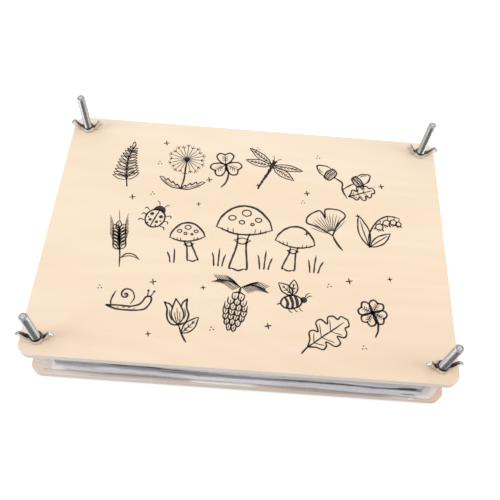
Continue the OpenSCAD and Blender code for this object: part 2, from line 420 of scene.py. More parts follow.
def wall_tint(film):
    """Whites of the upright film, with painted shade low down and by the right bolt, and warm past the left
    end.
    """
    above = film.above
    tint = film.slack.between((0.78, 0.765, 0.80), (0.80, 0.79, 0.83))
    tint = film.middle.between(tint, (0.98, 0.96, 1.0))
    # Painted shade low on the wall, at its foot
    tint = above.step(2, 8).between((0.55, 0.51, 0.51), tint)
    corners = film.left.larger(film.right * above.step(4, 20, 1.0, 0.3))
    tint = corners.larger(film.past_left.step(-7, 0)).between(tint, (1.0, 0.95, 0.95))
    # Painted shade beside the right bolt
    painted_shade_by_bolt = film.along.near(131, 2, 5, 0.5) * above.step(6, 12)
    tint = painted_shade_by_bolt.between(tint, (0.50, 0.46, 0.45))
    return (film.past_left + above * 0.2).step(5.4, 7.4).between(tint, (0.84, 0.75, 0.68))


def flat_tint(film):
    """Whites of the film on the board: greyer to the right as painted shade, and shaded at the foot of the
    wall.
    """
    along = film.along
    tint = film.ear.between((0.96, 0.92, 0.92), (0.87, 0.81, 0.78))
    # Painted shade: greyer to the right, where the bag would shadow the strip of board in front of it
    tint = along.step(16, 50).between(tint, (0.62, 0.57, 0.59))
    tint = along.step(104, 116).between(tint, (0.86, 0.82, 0.82))
    shade = film.across.step(-105, -101.4, 0.1, 1.0) * (1 - film.ear)
    shade = shade * along.step(-125, -85, 0.2, 0.92) * along.step(20, 60, 1.0, 0.72)
    return (shade * along.step(85, 110, 1.0, 0.7)).between(tint, (0.46, 0.42, 0.42))


def film_material():
    """Clear film, whiter where it is creased and at the corners, with painted light and shade: the painted
    shadow of one deep fold, painted highlights, and whiter low on the walls.
    """
    made, shader, place = material("clear_film", {"IOR": 1.5, "Specular IOR Level": 0.3})
    film = FilmPlace(place)
    haze, crinkle = film.haze, place.noise(420, 3.0, 0.6)
    dark, painted_highlight = fold_shadow(film), film_painted_highlight(film)
    veil = wall_veil(film).larger(flat_veil(film)) * (0.74 + haze * 0.3 + crinkle * 0.2)
    veil = veil.larger(dark * 0.95).larger(painted_highlight)
    white = film.above.step(0.9, 1.5).between(flat_tint(film), wall_tint(film))
    # The painted highlights turn the film nearly white
    white = painted_highlight.between(white, (1.0, 0.97, 0.94))
    # Base colour: the fold's painted shadow is almost black
    connect(shader, {
        "Base Color": dark.between(white, (0.035, 0.035, 0.04)),
        "Alpha": veil.smaller(0.96),
        "Roughness": 0.1 + haze * 0.2 + dark * 0.4,
        "Normal": (crinkle + haze * 1.5).bump(0.4 * MM, 0.5),
    })
    return made


# Mesh helpers

def add_object(name, mesh):
    made = bpy.data.objects.new(name, mesh)
    bpy.context.scene.collection.objects.link(made)
    return made


def add_mesh(name, points, faces, surface, smooth=True):
    mesh = bpy.data.meshes.new(name)
    mesh.from_pydata([tuple(p) for p in points], [], faces)
    mesh.materials.append(surface)
    mesh.polygons.foreach_set("use_smooth", [smooth] * len(mesh.polygons))
    mesh.update()
    return add_object(name, mesh)


def bake_modifiers(made):
    """Replaces an object's mesh by what its modifiers make of it."""
    graph = bpy.context.evaluated_depsgraph_get()
    mesh = bpy.data.meshes.new_from_object(made.evaluated_get(graph))
    made.modifiers.clear()
    made.data = mesh
    mesh.polygons.foreach_set("use_smooth", [True] * len(mesh.polygons))


def wall(rings, start):
    """Faces between rings of as many points each, the first of them at the index start."""
    sides = len(rings[0])
    faces = []
    for row in range(len(rings) - 1):
        for i in range(sides):
            j = (i + 1) % sides
            a, b = start + row * sides, start + (row + 1) * sides
            faces.append((a + i, a + j, b + j, b + i))
    return faces


def lathe(profile, sides, start):
    """Points and faces of a closed form turned round Z; the profile is a list of (radius, z)."""
    angles = [2 * math.pi * i / sides for i in range(sides)]
    rings = [[(r * math.cos(a), r * math.sin(a), z) for a in angles] for r, z in profile]
    last = start + (len(profile) - 1) * sides
    bottom = tuple(start + i for i in reversed(range(sides)))
    top = tuple(last + i for i in range(sides))
    return sum(rings, []), [*wall(rings, start), bottom, top]


# Bolts, each on its own axis with its crown at zero

SHANK_R, CORE_R, TIP_R = 3.0, 2.45, 2.6
THREAD_START, PITCH, ROUND_SIDES = 8.0, 1.0, 32
HEAD_H, NECK_H = 3.3, 4.0


def bolt_head(head_r, start):
    """Domed head, from the flat crown up to the foot of the neck."""
    rim, crown, rings, bevel = 0.8, 3.0, 11, 0.15
    dome_h = HEAD_H - rim
    rise = ((head_r ** 2 - crown ** 2) / dome_h + dome_h) / 2
    ball = math.hypot(rise, crown)
    profile = [(crown * 0.5, 0.0), (crown, 0.0)]
    for i in range(1, rings + 1):
        z = dome_h * (i / rings) ** 1.6
        profile.append((min(math.sqrt(ball ** 2 - (rise - z) ** 2), head_r), z))
    profile += [(head_r, dome_h + 0.12), (head_r, HEAD_H - bevel)]
    profile += [(head_r - bevel, HEAD_H), (SHANK_R, HEAD_H)]
    return lathe(profile, 64, start)


def square_neck(start):
    """Square with rounded corners and an eased upper edge, open where it stands in the head."""
    half, rounding, sunk, ease_h, ease_share = 3.2, 0.35, 0.1, 0.2, 0.93
    outline = []
    for corner in range(4):
        turn = cmath.exp(0.5j * math.pi * corner)
        for i in range(5):
            inner = (half - rounding) * (1 + 1j)
            outline.append((inner + rounding * cmath.exp(1j * math.pi / 8 * i)) * turn)
    top = HEAD_H + NECK_H
    levels = ((HEAD_H - sunk, 1.0), (top - ease_h, 1.0), (top, ease_share))
    rings = [[(z.real * share, z.imag * share, level) for z in outline] for level, share in levels]
    lid = tuple(start + 2 * len(outline) + i for i in range(len(outline)))
    return sum(rings, []), [*wall(rings, start), lid]


def plain_shank(start):
    """Short round stretch between the neck and the thread."""
    plain_r, neck_top, sunk = CORE_R + 0.3, HEAD_H + NECK_H, 0.1
    profile = [(plain_r, neck_top - sunk), (plain_r, THREAD_START - 0.2), (CORE_R, THREAD_START + sunk)]
    return lathe(profile, ROUND_SIDES, start)


def rolled_thread(end, start):
    """One long helical strip whose profile has a flat crest and a rounded root."""
    shape = ((0.0, SHANK_R), (0.15, SHANK_R), (0.46, CORE_R + 0.06), (0.58, CORE_R), (0.7, CORE_R + 0.06))
    width, count = len(shape), int((end - THREAD_START) / PITCH + 2) * ROUND_SIDES
    points, faces = [], []
    for m in range(count):
        a = 2 * math.pi * m / ROUND_SIDES
        for above, r in shape:
            z = min(max(THREAD_START - PITCH + PITCH * m / ROUND_SIDES + above, THREAD_START), end)
            r = min(r, TIP_R + (end - z), CORE_R + (z - THREAD_START) * 0.5)
            points.append((r * math.cos(a), r * math.sin(a), z))
    for m in range(count - 1):
        for j in range(width - 1):
            a = start + m * width + j
            faces.append((a, a + width, a + width + 1, a + 1))
        if m + ROUND_SIDES + 1 < count:
            a, b = start + m * width + width - 1, start + (m + ROUND_SIDES) * width
            faces.append((a, a + width, b + width, b))
    return points, faces


def bolt_tip(end, start):
    """Flat end. The form's lower lid lies in the end's own plane and covers the shallow dimple."""
    dimple_r, dimple_depth = 0.35, 0.12
    return lathe([(TIP_R, end), (TIP_R * 0.6, end), (dimple_r, end - dimple_depth)], ROUND_SIDES, start)


def bolt_mesh(surface):
    """Carriage bolt that stands on its crown, with a rolled helical thread."""
    low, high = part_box("bolt_front_left")
    head_r, end = (high.x - low.x) / 2 / MM, high.z / MM
    points, faces = [], []
    for section, size in ((bolt_head, [head_r]), (square_neck, []), (plain_shank, []),
                          (rolled_thread, [end]), (bolt_tip, [end])):
        new_points, new_faces = section(*size, len(points))
        points += new_points
        faces += new_faces
    mesh = bpy.data.meshes.new("bolt")
    mesh.from_pydata([(x * MM, y * MM, z * MM) for x, y, z in points], [], faces)
    mesh.validate()
    mesh.materials.append(surface)
    mesh.polygons.foreach_set("use_smooth", [True] * len(mesh.polygons))
    mesh.set_sharp_from_angle(angle=math.radians(38))
    return mesh


def make_bolts(surface):
    mesh = bolt_mesh(surface)
    for corner in CORNERS:
        low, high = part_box("bolt_" + corner)
        made = add_object("threaded_bolt_" + corner, mesh)
        made.location = ((low.x + high.x) / 2, (low.y + high.y) / 2, low.z)
        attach(made, "base")
        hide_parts("bolt_" + corner)


# Wing nuts

def make_nuts(surfaces):
    """Each nut is its own CAD form with every edge rounded like a casting."""
    for corner in CORNERS:
        name = "wing_nut_" + corner
        surface = surfaces[corner.split("_")[1]]
        low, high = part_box(name)
        axis = Vector(((low.x + high.x) / 2, (low.y + high.y) / 2, low.z))
        made = add_object("cast_" + name, nodes[name].data.copy())
        made.data.transform(Matrix.Translation(-axis) @ nodes[name].matrix_world)
        made.location = axis
        remesh = made.modifiers.new("voxels", "REMESH")
        remesh.mode, remesh.voxel_size = "VOXEL", 0.25 * MM
        soften = made.modifiers.new("soften", "SMOOTH")
        soften.factor, soften.iterations = 0.5, 7
        bake_modifiers(made)
        made.data.materials.clear()
        made.data.materials.append(surface)
        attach(made, "nut_" + corner)
        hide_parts(name)


# Print

class Sketch:
    """Ink lines on a flat sheet. Points are complex numbers in millimetres."""

    def __init__(self, height):
        self.points, self.faces, self.height = [], [], height
        self.at(0, 0)

    def at(self, x, y, turn=0.0, size=1.0, weight=1.5):
        self.origin, self.turn = complex(x, y), size * cmath.exp(1j * math.radians(turn))
        self.weight = weight

    def shaky(self, places):
        """Moves points a little, so that lines look drawn by hand."""
        x, y = places.real, places.imag
        slow = np.sin(0.31 * x + 0.17 * y) + 1j * np.sin(0.23 * x - 0.29 * y + 1.0)
        quick = np.sin(1.1 * y + 0.3 * x) + 1j * np.sin(1.3 * x - 0.2 * y)
        return places + 0.16 * slow + 0.06 * quick

    def add(self, rows):
        """Joins rows of as many points each by faces."""
        start, width = len(self.points), len(rows[0])
        for row in rows:
            self.points += [(z.real * MM, z.imag * MM, self.height) for z in row]
        for i in range(len(rows) - 1):
            for j in range(width - 1):
                a = start + i * width + j
                self.faces.append((a, a + 1, a + width + 1, a + width))

    def line(self, points, width, closed=False, ends=(0.55, 0.55), steps=7):
        """A smooth stroke that narrows to the given shares of its width at its two ends."""
        path = self.shaky(self.origin + self.turn * curve(points, closed, steps))
        run = np.gradient(path)
        if closed:
            run[0] = run[-1] = path[1] - path[-2]
        side = 1j * run / np.maximum(np.abs(run), 1e-9)
        t = np.linspace(0, 1, len(path))
        half = np.full(len(path), width * self.weight / 2)
        if not closed:
            half = half * np.minimum(1, ends[0] + (1 - ends[0]) * t * 5)
            half = half * np.minimum(1, ends[1] + (1 - ends[1]) * (1 - t) * 5)
        half = half * (1 + 0.1 * np.sin(0.5 * path.real + 0.7 * path.imag))
        rows = [(p - s * h, p + s * h) for p, s, h in zip(path, side, half)]
        if not closed:
            for k, sign in ((0, -1), (-1, 1)):
                nose = [(rows[k][0] * (0.5 + c) + rows[k][1] * (0.5 - c)) + sign * d * half[k] * -1j * side[k]
                        for c, d in ((0.35, 0.7), (0.0, 1.0), (-0.35, 0.7))]
                self.fan([rows[k][0], *nose, rows[k][1]])
        self.add(rows)

    def fan(self, rim):
        """Faces from the middle of a rim to each stretch of it."""
        start, middle = len(self.points), sum(rim) / len(rim)
        self.points += [(z.real * MM, z.imag * MM, self.height) for z in (middle, *rim)]
        for i in range(len(rim)):
            self.faces.append((start, start + 1 + i, start + 1 + (i + 1) % len(rim)))

    def fill(self, points, steps=5):
        self.fan(list(self.shaky(self.origin + self.turn * curve(points, True, steps)[:-1])))

    def dot(self, centre, r):
        self.fill([centre + r * cmath.exp(2j * math.pi * i / 6) for i in range(6)], 3)

    def ring(self, centre, r, width, squash):
        angles = [2 * math.pi * i / 8 for i in range(8)]
        places = [centre + r * math.cos(a) + 1j * r * squash * math.sin(a) for a in angles]
        self.line(places, width, True, steps=4)

    def leaf(self, base, tip, fat, width, rib, veins=0):
        """Pointed leaf outline with a midrib and side veins."""
        along = tip - base
        side = 1j * along * fat
        bulges = ((0.22, 0.75), (0.52, 1.0), (0.84, 0.45))
        upper = [base, *(base + along * t + side * out for t, out in bulges), tip]
        lower = [base, *(base + along * t - side * out for t, out in bulges), tip]
        self.line(upper, width, ends=(0.7, 0.6))
        self.line(lower, width, ends=(0.7, 0.6))
        if rib:
            bend = base + along * rib * 0.5 + side * 0.05
            self.line([base, bend, base + along * rib], width * 0.8, ends=(1, 0.3))
        for i in range(veins):
            root = base + along * (0.18 + 0.62 * i / veins)
            reach = 0.72 * (1 - abs(i / max(veins - 1, 1) - 0.4))
            for s in (-1, 1):
                self.line([root, root + along * 0.12 + s * side * reach], width * 0.6, ends=(1, 0.3), steps=3)


def curve(points, closed, steps):
    """Smooth curve through complex points."""
    p = np.array(points, complex)
    if closed:
        p = np.concatenate([p[-1:], p, p[:2]])
    else:
        p = np.concatenate([[2 * p[0] - p[1]], p, [2 * p[-1] - p[-2]]])
    t = np.arange(steps) / steps
    parts = []
    for a, b, c, d in zip(p, p[1:], p[2:], p[3:]):
        square, cube = 2 * a - 5 * b + 4 * c - d, 3 * b - a - 3 * c + d
        parts.append(0.5 * (2 * b + (c - a) * t + square * t ** 2 + cube * t ** 3))
    return np.concatenate([*parts, [p[-2]]])


def polar(length, degrees):
    return length * cmath.exp(1j * math.radians(degrees))


def draw_mushroom(s, height, cap, lean, spots):
    """Toadstool with a domed cap, gills and a ringed stem."""
    top = lean + 1j * height
    w = cap / 2
    s.line([top - w, top - w * 0.86 + 0.42j * w, top - 0.45 * w + 0.84j * w, top + 0.98j * w,
            top + 0.45 * w + 0.84j * w, top + w * 0.86 + 0.42j * w, top + w], 1.2)
    s.line([top - w, top - 0.5 * w - 0.2j * w, top - 0.26j * w, top + 0.5 * w - 0.2j * w, top + w], 1.0)
    for i in range(-4, 5):
        if abs(i) > 1:
            s.line([top + i * 0.2 * w - 0.02j * w, top + i * 0.19 * w - (0.2 - 0.003 * i * i) * 1j * w], 0.5)
    for side in (-1, 1):
        s.line([top + side * 0.2 * w - 0.22j * w, top * 0.55 + side * 0.17 * w,
                side * 0.3 * w, side * 0.22 * w - 0.06j * w], 1.0)
    s.line([top * 0.68 - 0.3 * w, top * 0.62 - 0.06j * w, top * 0.68 + 0.3 * w], 0.8)
    s.line([top * 0.68 - 0.3 * w, top * 0.74, top * 0.68 + 0.3 * w], 0.6)
    s.line([-0.22 * w - 0.06j * w, -0.14j * w, 0.22 * w - 0.06j * w], 0.9)
    if spots:
        for x, y, r in ((-0.45, 0.42, 0.13), (0.05, 0.66, 0.17), (0.5, 0.4, 0.11),
                        (-0.1, 0.25, 0.09), (0.28, 0.2, 0.06)):
            s.ring(top + w * complex(x, y), w * r, 0.7, 0.8)


def draw_fern(s, length):
    """Arching frond with leaflets that grow shorter towards its tip."""
    pairs = 11
    spine = curve([0, 0.35j * length + 1, 0.7j * length + 4, 1j * length + 9.5], False, 40)
    s.line(list(spine[::8]), 0.8, ends=(1, 0.3))
    for i in range(pairs):
        t = 0.16 + 0.8 * i / pairs
        root = spine[int(t * (len(spine) - 1))]
        ahead = spine[min(int(t * (len(spine) - 1)) + 3, len(spine) - 1)] - root
        ahead /= abs(ahead)
        reach = length * 0.27 * (1 - t) ** 0.8 + 2
        for side in (-1, 1):
            tip = root + reach * ahead * cmath.exp(1j * side * math.radians(62))
            s.leaf(root, tip, 0.17, 0.55, 0.7 if i % 2 else 0)
    s.leaf(spine[-12], spine[-1] + 3j, 0.2, 0.5, 0)


def draw_dragonfly(s):
    """Dragonfly from above, with veined wings."""
    s.dot(0, 1.7)
    s.dot(-1.2 + 1.6j, 0.9)
    s.dot(1.2 + 1.6j, 0.9)
    s.fill([-1.3 - 1j, -1.7 - 3.5j, -1.1 - 6.5j, 1.1 - 6.5j, 1.7 - 3.5j, 1.3 - 1j])
    for i in range(7):
        s.line([-7.3j - 3.1j * i, -9.6j - 3.1j * i], 1.9 - 0.13 * i, ends=(0.8, 0.8), steps=3)
    for side in (-1, 1):
        for root, tip, fat in ((-2.4j, side * 23 + 3.5j, 0.125), (-4.4j, side * 20.5 - 8j, 0.16)):
            s.leaf(root + side * 1.2, tip, fat, 0.65, 0.92, 5)
            s.dot(tip - (tip - root) * 0.08 + 0.9j, 0.6)
    s.line([-0.8 + 2.2j, -2.2 + 4.6j, -3.8 + 5.4j], 0.4)
    s.line([0.8 + 2.2j, 2.2 + 4.6j, 3.8 + 5.4j], 0.4)


def draw_acorns(s):
    """Two acorns on a twig with one lobed leaf."""
    s.line([0, -4 + 7j, -5 + 13j, -11 + 17j], 1.0)
    s.line([-4 + 7j, 1 + 12j, 4 + 14j], 0.8)
    for base, turn, size in ((-11 + 17j, 58, 1.0), (4 + 14j, -48, 0.92)):
        d = polar(size, turn + 90)
        half = (0.8 + 4j, 3.6 + 5.2j, 5.6 + 4.9j)
        cup = [base + d * z for z in (0, *half, *(z.conjugate() for z in reversed(half)))]
        s.line(cup[:4], 0.9, ends=(1, 1))
        s.line([cup[0], *cup[:3:-1]], 0.9, ends=(1, 1))
        s.line([cup[3], base + d * 6.8, cup[4]], 0.9, ends=(1, 1))
        for i in range(-3, 4):
            s.line([base + d * (1.2 + 1j * i), base + d * (3.4 + 1.35j * i),
                    base + d * (6.0 - 0.06 * i * i + 1.3j * i)], 0.5)
        for u in (2.4, 4.4):
            s.line([base + d * (u + 4.6j), base + d * (u + 0.9), base + d * (u - 4.6j)], 0.5)
        s.line([base + d * (5.8 + 4.3j), base + d * (10 + 4.3j), base + d * (14 + 2.1j), base + d * 15.8,
                base + d * (14 - 2.1j), base + d * (10 - 4.3j), base + d * (5.8 - 4.3j)], 0.9)
        s.line([base + d * (8 + 2.6j), base + d * (11 + 2.4j), base + d * (13 + 1.3j)], 0.5)
    draw_lobed_leaf(s, 1 + 2j, 19 + 11j)


def draw_lobed_leaf(s, base, tip):
    """Leaf with five round lobes and a vein into each."""
    along = tip - base
    for side in (-1, 1):
        rim = [base]
        for t, out in ((0.12, 0.1), (0.2, 0.22), (0.3, 0.2), (0.36, 0.13), (0.44, 0.3), (0.56, 0.3),
                       (0.6, 0.16), (0.7, 0.26), (0.8, 0.22), (0.84, 0.12), (0.94, 0.12)):
            rim.append(base + along * (t + 1j * side * out))
        s.line([*rim, tip], 0.8, ends=(1, 1))
        for t, out in ((0.14, 0.17), (0.34, 0.24), (0.56, 0.2)):
            s.line([base + along * t, base + along * (t + 0.14 + 1j * side * out)], 0.45, ends=(1, 0.3))
    s.line([base, base + along * 0.5, base + along * 0.92], 0.7, ends=(1, 0.3))


def draw_oak_leaf(s):
    """Lobed leaf on a short stalk."""
    draw_lobed_leaf(s, 0, 24 + 22j)
    s.line([0, -3.5 - 5j], 0.9)


def draw_clover(s, leaves, size):
    """Clover leaf of heart-shaped leaflets on a bent stalk."""
    for i in range(leaves):
        d = polar(size, 90 + 360 / leaves * i + (45 if leaves == 4 else 0))
        lobe = [0, 3.4 + 4.2j, 8.2 + 6.4j, 11.4 + 4.2j, 10.6 + 0.9j, 9.6]
        s.line([d * z for z in lobe], 0.9, ends=(1, 1))
        s.line([d * complex(z).conjugate() for z in lobe], 0.9, ends=(1, 1))
        s.line([d * 1, d * 8.4], 0.5, ends=(1, 0.3))
        for u in (3.6, 5.4, 7.2):
            for side in (-1, 1):
                s.line([d * u, d * (u + 1.6 + side * 2.4j)], 0.4, ends=(1, 0.3))
    s.line([0, size * (1.5 - 8j), size * (-1 - 16j), size * (-5 - 21j)], 1.0, ends=(1, 0.6))


def draw_seed_head(s):
    """Dandelion clock with two toothed leaves."""
    centre = 27j
    s.line([0, 1.2 + 9j, 0.6 + 18j, centre], 0.9)
    s.dot(centre, 1.6)
    for i in range(20):
        reach = 10.6 + 1.2 * (i % 2)
        tip = centre + polar(reach, 18 * i + 4)
        s.line([centre + polar(1.4, 18 * i + 4), tip], 0.4, ends=(1, 0.6), steps=4)
        for spread in (-46, 0, 46):
            s.line([tip, tip + polar(2.6, 18 * i + 4 + spread)], 0.4, ends=(1, 0.4), steps=3)
    for side in (-1, 1):
        rim = [0]
        for u, v in ((3, 2.6), (3.6, 1.0), (6.6, 3.2), (7.2, 1.3), (10.4, 3.4), (11, 1.4), (14, 2.6)):
            rim.append(side * u + 1j * (v + u * 0.42))
        s.line([*rim, side * 16.5 + 8.4j], 0.7, ends=(1, 0.6), steps=3)
        s.line([0, side * 6 + 0.6j, side * 12 + 4.2j, side * 16.5 + 8.4j], 0.7, ends=(1, 0.6))
        s.line([side * 1 + 0.6j, side * 7 + 2.6j, side * 13 + 6j], 0.45)


def draw_wheat(s, length):
    """Ear of wheat with paired grains and long bristles."""
    s.line([0, 0.5 + 0.3j * length, 0.52j * length, 0.9j * length - 1], 0.8)
    for i in range(6):
        root = 1j * (0.42 + 0.085 * i) * length
        for side in (-1, 1):
            tip = root + side * 4.1 + 6.2j
            s.leaf(root + side * 0.3, tip, 0.3, 0.65, 0.75)
            s.line([tip, tip + side * 2.6 + 9j], 0.35, ends=(0.8, 0.3))
    s.leaf(0.93j * length - 1, 0.93j * length + 6.5j, 0.28, 0.65, 0.75)
    s.line([0.93j * length + 6.5j, 0.93j * length + 16j], 0.35, ends=(0.8, 0.3))
    s.line([0.5 + 0.2j * length, 5 + 0.3j * length, 10 + 0.26j * length, 13.5 + 0.14j * length], 0.7)
    s.line([0.5 + 0.2j * length, 4.6 + 0.24j * length, 9 + 0.22j * length, 13.5 + 0.14j * length], 0.5)


def draw_tulip(s):
    """Tulip with three petals in front and two behind, on a stalk with one leaf."""
    def to(*points):
        return [0.9 * complex(x, y) for x, y in points]
    for side in (-1, 1):
        s.line(to((0, 0), (side * 5, 1.5), (side * 7.6, 7), (side * 6.8, 13), (side * 8, 19)),
               0.9, ends=(1, 1))
        s.line(to((side * 8, 19), (side * 4.6, 16.8), (side * 2.6, 13.2)), 0.8, ends=(1, 0.6))
        s.line(to((0, 0.4), (side * 3.6, 5), (side * 3.9, 11), (0, 20.5)), 0.8, ends=(1, 1))
        s.line(to((side * 4.16, 4), (side * 5.46, 8), (side * 5.2, 12)), 0.45)
    for x, top in ((-1.6, 10), (0, 13), (1.6, 10)):
        s.line(to((x * 0.6, 2.5), (x, 6), (x * 1.1, top)), 0.45)
    s.line([0, 1.5 - 7j, 3.5 - 12j], 0.9)
    s.leaf(1.2 - 6j, 13 + 3.5j, 0.2, 0.7, 0.8, 3)


def draw_cone(s):
    """Fir cone under a tuft of needles."""
    s.line([0, 0.5 + 5j], 1.2)
    scales = ((2, 4.2), (3, 6.2), (4, 7.4), (4, 7.6), (4, 6.9), (3, 5.4), (2, 3.2))
    for row, (count, w) in enumerate(scales):
        y = -3.6 * row
        for k in range(count):
            x = w * (2 * (k + 0.5) / count - 1)
            r = w / count
            s.line([x - r + 1j * y, x - 0.8 * r + 1j * (y - 3.2), x + 1j * (y - 4.6),
                    x + 0.8 * r + 1j * (y - 3.2), x + r + 1j * y], 0.75)
            s.line([x + 1j * (y - 1.4), x + 1j * (y - 3.4)], 0.45)
    s.line([-4.2, 1.2j, 4.2], 0.8)
    for side in (-1, 1):
        twig = curve([0.5 + 5j, side * 7 + 8j, side * 16 + 7.4j], False, 20)
        s.line(list(twig[::8]), 0.8)
        for k, root in enumerate(twig[2:40:3]):
            for lean in (40, -32):
                needle = polar(6.6 - 0.12 * k, (0 if side > 0 else 180) + side * lean)
                s.line([root, root + needle], 0.42, ends=(1, 0.3), steps=4)


def draw_bee(s):
    """Round bee with a striped body and two pairs of wings."""
    s.ring(0, 7.0, 0.9, 0.68)
    for x, h in ((-3.6, 3.6), (-0.4, 4.5), (2.8, 4.1)):
        s.line([x - 1j * h, x + 0.9, x + 1j * h], 1.5, ends=(0.7, 0.7))
    s.dot(8.2 + 0.2j, 2.3)
    s.line([9.4 + 1.9j, 11 + 4.2j, 13 + 4.6j], 0.5)
    s.line([10 + 1.2j, 12.2 + 2.4j, 14 + 2.2j], 0.5)
    for tip, fat in ((-6 + 15j, 0.24), (5 + 15.5j, 0.26)):
        s.leaf(1.6 + 4.6j, tip, fat, 0.7, 0.75, 3)
    s.line([-7.2, -9.6 - 0.4j], 0.7)
    for x in (-3, 0.6, 4):
        s.line([x - 4.6j, x + 0.6 - 6.6j, x + 2 - 7.6j], 0.5)


def draw_ladybird(s):
    """Spotted beetle from above."""
    s.ring(0, 6.4, 0.9, 1.12)
    s.line([6.6j, -7.2j], 0.8)
    s.fill([-3.9 + 5.8j, -3 + 9.4j, 10.6j, 3 + 9.4j, 3.9 + 5.8j, 6.9j])
    for x, y, r in ((3.2, 2.6, 1.35), (2.4, -2.2, 1.15), (4.4, -0.6, 0.6), (2.9, -5.0, 0.65)):
        s.dot(complex(x, y), r)
        s.dot(complex(-x, y), r)
    for side in (-1, 1):
        s.line([side * 1.6 + 10j, side * 2.8 + 12.4j, side * 4.8 + 13j], 0.45)
        for y in (4.2, 0, -4.2):
            knee, end = side * 8.6 + 1j * (y * 1.15 + 0.8), side * 9.6 + 1j * (y * 1.15 - 0.9)
            s.line([side * 6 + 1j * y, knee, end], 0.6)


def draw_ginkgo(s):
    """Fan-shaped leaf with a notch and fine veins."""
    notch = -0.4 + 16j
    s.line([0, -7 + 9j, -14.5 + 14.5j, -13 + 19.5j, -8 + 22.5j, -2.2 + 23j, notch], 0.9, ends=(1, 1))
    s.line([0, 7 + 8.6j, 14.5 + 14j, 13 + 19j, 8 + 22j, 2.2 + 23j, notch], 0.9, ends=(1, 1))
    for a in range(-52, 53, 8):
        if a:
            reach = 19.5 - abs(abs(a) - 22) * 0.09
            vein = [polar(4.5, 90 - a * 0.9), polar(reach * 0.6, 90 - a), polar(reach, 90 - a)]
            s.line(vein, 0.38, ends=(1, 0.3), steps=4)
    s.line([0, 0.8 - 6j, 3 - 13j], 1.1)


def draw_snail(s):
    """Snail with a coiled shell."""
    turns = [7.2 * math.exp(-0.155 * k) * cmath.exp(1j * (0.62 * k - 1.0)) + 7.2j for k in range(20)]
    s.line(turns, 0.9, steps=5)
    s.line([-10.5 - 0.6j, -4 - 0.2j, 4 - 0.6j, 10 + 1.6j, 12.6 + 6.2j, 15.4 + 6.8j,
            16 + 3.6j, 13 - 1.4j, 6 - 3j, -3 - 3j, -10.5 - 0.6j], 0.9, ends=(1, 1))
    s.line([13.4 + 6.8j, 13.6 + 10.6j], 0.6)
    s.line([15.2 + 6.6j, 17 + 10j], 0.6)
    s.dot(13.6 + 11j, 0.8)
    s.dot(17.3 + 10.5j, 0.8)
    s.line([-6.3 + 9.2j, -8 + 3.2j, -7.6 - 0.4j], 0.8)
    for k in range(4):
        s.line([-4 + 3.4 * k - 1.9j, -2.8 + 3.4 * k - 1.4j], 0.4, steps=3)


def draw_bells(s):
    """Arching stem of hanging bell flowers between two long leaves."""
    s.line([0, -2 + 12j, 1 + 24j, 8 + 32j, 16 + 33j], 0.9)
    for x, y, d in ((2.6, 27, 1.0), (7.6, 32, 0.95), (12.4, 33.6, 0.85), (16.4, 32.8, 0.7)):
        top = complex(x, y)
        drop = top + 1.6 - 3.2j
        s.line([top, top + 1.6 - 0.6j, drop], 0.5)
        for side in (-1, 1):
            s.line([drop + d * (side * u - 1j * v) for u, v in ((0, 0), (2.6, 1.6), (2.8, 4.4), (3.6, 6))],
                   0.7, ends=(1, 1))
        hem = ((-3.6, 6), (-1.8, 5.2), (-1.0, 6.6), (0, 5.3), (1.0, 6.6), (1.8, 5.2), (3.6, 6))
        s.line([drop + d * (u - 1j * v) for u, v in hem], 0.6, ends=(1, 1), steps=4)
        s.dot(drop - 7.4j * d, 0.5)
    s.leaf(-0.4 + 1j, -13 + 26j, 0.15, 0.8, 0.85)
    s.leaf(0.6 + 1j, 13.5 + 17j, 0.17, 0.8, 0.85)


def draw_filler(s, kind):
    if kind == "star":
        for k in range(4):
            s.line([polar(0.5, 90 * k), polar(2.6, 90 * k)], 0.65, ends=(1, 0.2), steps=3)
    elif kind == "dots":
        for z in (0, 2.4, 1.2 + 2.1j):
            s.dot(z, 0.55)
    else:
        s.line([-1.8, 1.8], 0.6, steps=3)
        s.line([-1.8j, 1.8j], 0.6, steps=3)


